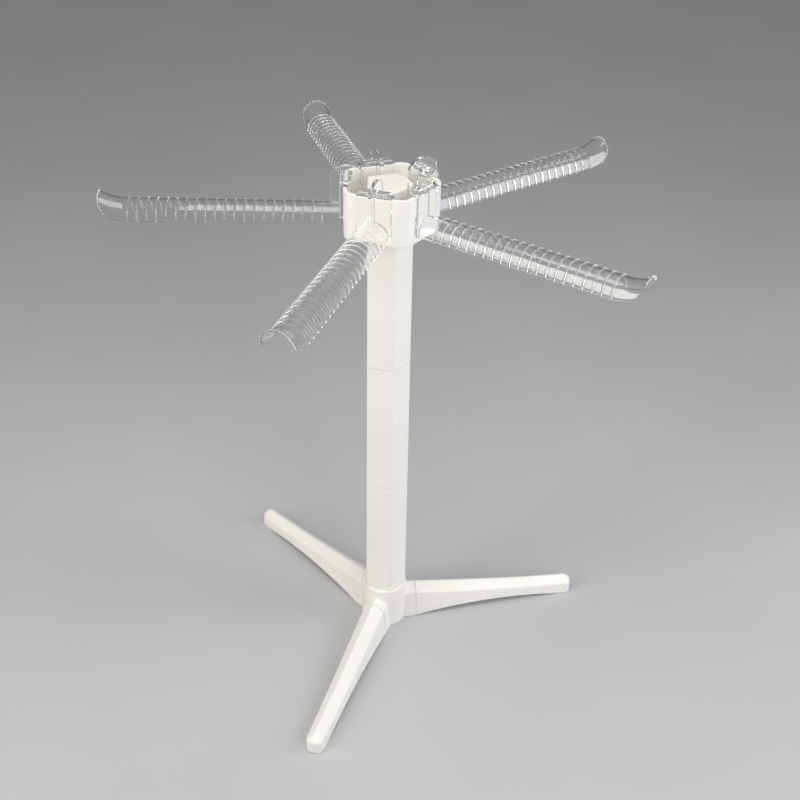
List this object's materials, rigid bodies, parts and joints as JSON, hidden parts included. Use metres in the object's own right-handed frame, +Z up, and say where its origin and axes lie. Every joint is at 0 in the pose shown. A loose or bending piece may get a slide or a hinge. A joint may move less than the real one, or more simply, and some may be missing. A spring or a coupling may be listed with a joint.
{
  "type": "pasta drying rack",
  "caption": "Free-standing pasta drying rack: a pentagonal column on splayed push-fit legs carries a hub with clear ribbed arms, hooked over its wall, for hanging strands.",
  "frame": {"origin": "on the column's axis, at the surface that the rack stands on", "axes": "+Z up along the column; -Y along the front leg and the front arm; X = 0 is a mirror plane"},
  "size_m": [0.4306, 0.4108, 0.4514],
  "materials": {
    "white_plastic": "satin",
    "clear_plastic": "clear, polished"
  },
  "bodies": {
    "base_hub": {"base_hub": "white_plastic"},
    "leg_front": {"leg_front": "white_plastic"},
    "leg_right": {"leg_right": "white_plastic"},
    "leg_left": {"leg_left": "white_plastic"},
    "column_lower": {"column_lower": "white_plastic"},
    "column_middle": {"column_middle": "white_plastic"},
    "column_upper": {"column_upper": "white_plastic"},
    "arm_hub": {"arm_hub": "white_plastic"},
    "arm_front": {"arm_front": "clear_plastic"},
    "arm_right": {"arm_right": "clear_plastic"},
    "arm_back_right": {"arm_back_right": "clear_plastic"},
    "arm_back_left": {"arm_back_left": "clear_plastic"},
    "arm_left": {"arm_left": "clear_plastic"}
  },
  "joints": [
    {"name": "leg_front_pull", "type": "slide", "parent": "base_hub", "child": "leg_front", "axis": [0, -1, 0], "range_m": [0, 0.018]},
    {"name": "leg_right_pull", "type": "slide", "parent": "base_hub", "child": "leg_right", "axis": [0.866, 0.5, 0], "range_m": [0, 0.018]},
    {"name": "leg_left_pull", "type": "slide", "parent": "base_hub", "child": "leg_left", "axis": [-0.866, 0.5, 0], "range_m": [0, 0.018]},
    {"name": "column_lower_lift", "type": "slide", "parent": "base_hub", "child": "column_lower", "axis": [0, 0, 1], "range_m": [0, 0.026]},
    {"name": "column_middle_lift", "type": "slide", "parent": "column_lower", "child": "column_middle", "axis": [0, 0, 1], "range_m": [0, 0.026]},
    {"name": "column_upper_lift", "type": "slide", "parent": "column_middle", "child": "column_upper", "axis": [0, 0, 1], "range_m": [0, 0.026]},
    {"name": "arm_hub_lift", "type": "slide", "parent": "column_upper", "child": "arm_hub", "axis": [0, 0, 1], "range_m": [0, 0.026]},
    {"name": "arm_front_lift", "type": "slide", "parent": "arm_hub", "child": "arm_front", "axis": [0, 0, 1], "range_m": [0, 0.03]},
    {"name": "arm_right_lift", "type": "slide", "parent": "arm_hub", "child": "arm_right", "axis": [0, 0, 1], "range_m": [0, 0.03]},
    {"name": "arm_back_right_lift", "type": "slide", "parent": "arm_hub", "child": "arm_back_right", "axis": [0, 0, 1], "range_m": [0, 0.03]},
    {"name": "arm_back_left_lift", "type": "slide", "parent": "arm_hub", "child": "arm_back_left", "axis": [0, 0, 1], "range_m": [0, 0.03]},
    {"name": "arm_left_lift", "type": "slide", "parent": "arm_hub", "child": "arm_left", "axis": [0, 0, 1], "range_m": [0, 0.03]}
  ]
}
